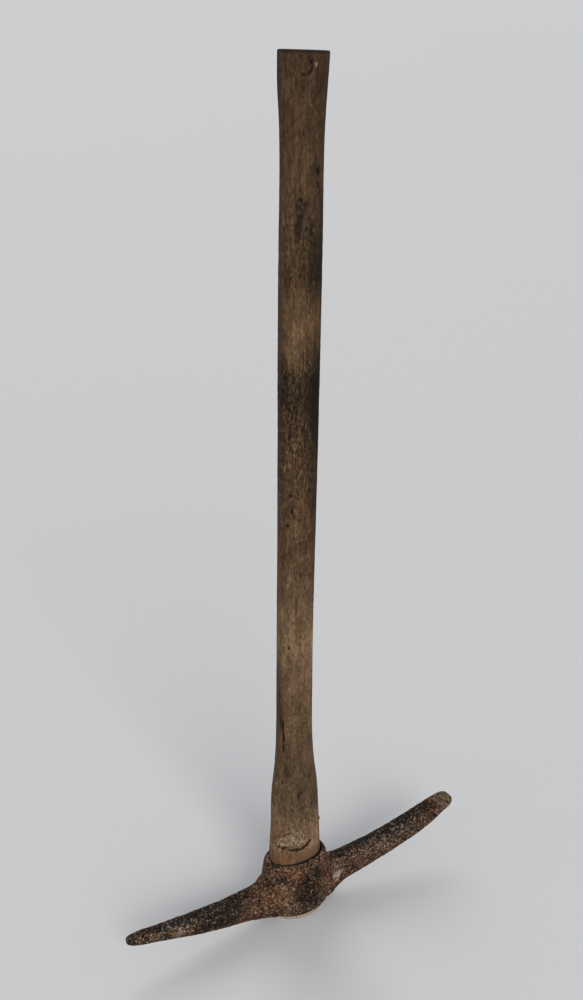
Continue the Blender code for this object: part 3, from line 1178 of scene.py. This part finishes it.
def wood_material():
    g = Graph("weathered_hardwood")
    thread = g.grain(0.02, 0.5 * MM, 2.0, 0.5)
    fibre = g.grain(0.07, 1.5 * MM, 5.0, 0.7)
    flake = g.grain(0.45, 2.0 * MM, 4.0, 0.7, 0.3)
    chip = g.grain(0.5, 2.6 * MM, 3.0, 0.8, 0.8)
    streak = g.grain(0.10, 5.0 * MM, 3.0, 0.6, 0.5)
    mottle = g.grain(0.4, 9.0 * MM, 5.0, 0.65, 0.4)
    cloud = g.grain(0.3, 45.0 * MM, 3.0, 0.5)
    rugged = g.times(g.mark("rugged"), RUGGED_FULL_SCALE / 1.5)
    grey = g.mark("grey")

    # the grain: fine fibres and flakes, stronger where the wood is rugged, over broad streaks
    fine = g.times(g.weighted(0.0, (fibre, 1.1)), g.times_plus(grey, -0.7, 1.0))
    fine = g.weighted(fine, (flake, 1.0))
    fine = g.times(fine, g.times_plus(rugged, 1.0, 0.40))
    tone = g.weighted(g.math("ADD", fine, 0.5), (streak, 0.5), (mottle, 0.75), (cloud, 0.25))
    chips = g.times(g.between(chip, 0.36, 0.62, -0.34, 0.26), rugged)
    tone = g.times_plus(chips, 0.9, tone)
    colour = g.colours(tone, WOOD_TONES)

    # warm, greyed and reddened wood, then how light it is along the handle
    warm_zone = g.times(g.between(cloud, 0.35, 0.7, 0.0, 0.4), g.times_plus(grey, -0.6, 1.0))
    colour = g.mix(warm_zone, colour, g.tinted(colour, WARM_WOOD))
    colour = g.mix(g.between(grey, 0.0, 1.0, 0.0, 0.8), colour, g.tinted(colour, GREY_WOOD))
    red_zone = g.times(g.mark("red"), g.between(streak, 0.3, 0.6, 0.5, 1.0))
    colour = g.mix(red_zone, colour, g.tinted(colour, RED_WOOD))
    colour = g.scaled(colour, g.times(g.mark("tone"), TONE_FULL_SCALE))

    # pale patches, dirt with painted shade, and grooves darkened with dirt and painted shade
    pale = g.weighted(g.mark("pale"), (flake, 1.6), (fibre, 0.8))
    colour = g.mix(g.between(pale, 0.25, 1.2, 0.0, 0.85), colour, g.colours(flake, PALE_WOOD))
    # stains and dirt, together with the painted shade at the grip end and along the rim
    dirt_and_shade_share = g.weighted(g.mark("stain_and_shade"), (mottle, 1.5), (flake, 1.5), (fibre, 1.5))
    dirt_and_shade_share = g.between(dirt_and_shade_share, 0.25, 1.05, 0.0, 0.85)
    colour = g.mix(dirt_and_shade_share, colour, DIRT_AND_SHADE)
    # painted shade and dirt in cracks, checks, holes and pits, and the painted shadow under the split
    # lip
    groove_shade_and_dirt = g.weighted(g.mark("groove_shade_and_dirt"), (flake, 0.7), (fibre, 0.5))
    groove_shade_and_dirt = g.times(groove_shade_and_dirt, g.between(g.mark("groove_shade_and_dirt"), 0.02, 0.25))
    colour = g.mix(g.between(groove_shade_and_dirt, 0.22, 0.75, 0.0, 0.92), colour, GROOVE_SHADE_AND_DIRT)

    # the cut ends, and the clean wood of the butt
    waves = {"Vector": g.place, "Scale": 260.0, "Distortion": 2.0, "Detail": 2.0}
    rings = g.add("TexWave", waves, wave_type="RINGS").outputs["Fac"]
    end_colour = g.mix(dirt_and_shade_share, g.colours(rings, END_RINGS), END_DIRT_AND_SHADE)
    colour = g.mix(g.mark("end_grain"), colour, end_colour)
    colour = g.mix(g.between(g.mark("fresh"), 0.2, 0.8), colour, g.colours(fibre, FRESH_WOOD))

    roughness = g.times_plus(g.mark("smooth"), -0.14, g.between(tone, 0.0, 1.0, 0.66, 0.90))
    bumps = ((thread, 0.10 * MM), (fibre, 0.3 * MM), (flake, 0.5 * MM))
    return g.finish(colour, roughness, bumps)


def iron_material():
    g = Graph("rusted_forged_iron")
    powder = g.noise(g.place, 0.45 * MM, 2.0, 0.5)
    grit = g.noise(g.place, 2.4 * MM, 4.0, 0.64)
    speck = g.noise(g.place, 3.0 * MM, 4.0, 0.70)
    blotch = g.noise(g.place, 5.0 * MM, 5.0, 0.66, 0.3)
    patch = g.noise(g.place, 14.0 * MM, 4.0, 0.6, 0.5)
    hue = g.noise(g.place, 16.0 * MM, 3.0, 0.5)
    black = g.between(g.weighted(g.mark("black"), (patch, 2.4), (blotch, 1.4)), 0.1, 0.9)

    # brown iron with orange rust, and zones of other tints
    tone = g.weighted(0.5, (grit, 2.3), (patch, 0.9), (blotch, 1.4))
    rust = g.weighted(g.mark("orange"), (patch, 1.4), (blotch, 1.2), (grit, 0.8))
    rust = g.between(rust, 0.0, 1.0, 0.0, 0.75)
    colour = g.mix(rust, g.colours(tone, IRON_TONES), g.colours(tone, RUST_TONES))
    colour = g.mix(g.mark("red"), colour, g.tinted(colour, RED_IRON))
    warmer, colder = g.tinted(colour, WARM_IRON), g.tinted(colour, COLD_IRON)
    colour = g.mix(g.between(hue, 0.40, 0.60), warmer, colder)
    grey_zone = g.between(g.mark("light"), 0.0, 1.0, 0.0, 0.9)
    colour = g.mix(grey_zone, colour, g.tinted(colour, GREY_IRON))
    olive_zone = g.between(g.mark("olive"), 0.1, 0.9, 0.0, 0.75)
    colour = g.mix(olive_zone, colour, g.colours(tone, OLIVE_TONES))
    colour = g.mix(g.times(black, 0.8), colour, g.tinted(colour, BLACK_IRON))

    # flakes of dark scale
    scale = g.weighted(0.0, (blotch, -1.0), (grit, -0.5))
    scale = g.times_plus(black, 0.05, scale)
    scale = g.times_plus(g.mark("orange"), -0.05, scale)
    scale = g.times_plus(g.mark("olive"), -0.12, scale)
    scale = g.between(scale, 0.04, 0.20, 0.0, 0.85)
    colour = g.mix(scale, colour, SCALE_DARK)

    # pale specks and painted glints, mostly on the light zones and the worn edges
    pale = g.weighted(0.0, (speck, 1.0), (grit, 0.5))
    pale = g.times_plus(g.mark("light"), 0.07, pale)
    pale = g.times_plus(black, 0.03, pale)
    pale = g.times_plus(g.mark("edge"), 0.04, pale)
    speck_and_glint_colour = g.mix(black, g.colours(grit, PALE_SPECKS_AND_GLINTS), BLACK_SCALE_SPECKS_AND_GLINTS)
    colour = g.mix(g.between(pale, 0.09, 0.20, 0.0, 0.85), colour, speck_and_glint_colour)

    # pits, bare spots and painted shade on the inside of the eye
    colour = g.mix(g.between(g.mark("pit"), 0.22, 0.75, 0.0, 0.78), colour, PIT_DARK)
    bare = g.between(g.weighted(g.mark("bare"), (speck, 2.6), (blotch, 2.0)), 0.2, 1.3, 0.0, 0.9)
    colour = g.mix(bare, colour, g.colours(grit, BARE_IRON))
    colour = g.mix(g.mark("inside"), colour, INSIDE_EYE_SHADE)

    roughness = g.between(scale, 0.0, 1.0, 0.92, 0.78)
    bumps = ((powder, 0.12 * MM), (grit, 0.7 * MM), (blotch, 1.2 * MM))
    return g.finish(colour, roughness, bumps)


# ---------------------------------------------------------------- build

make_studio()
make_handle()
make_head()
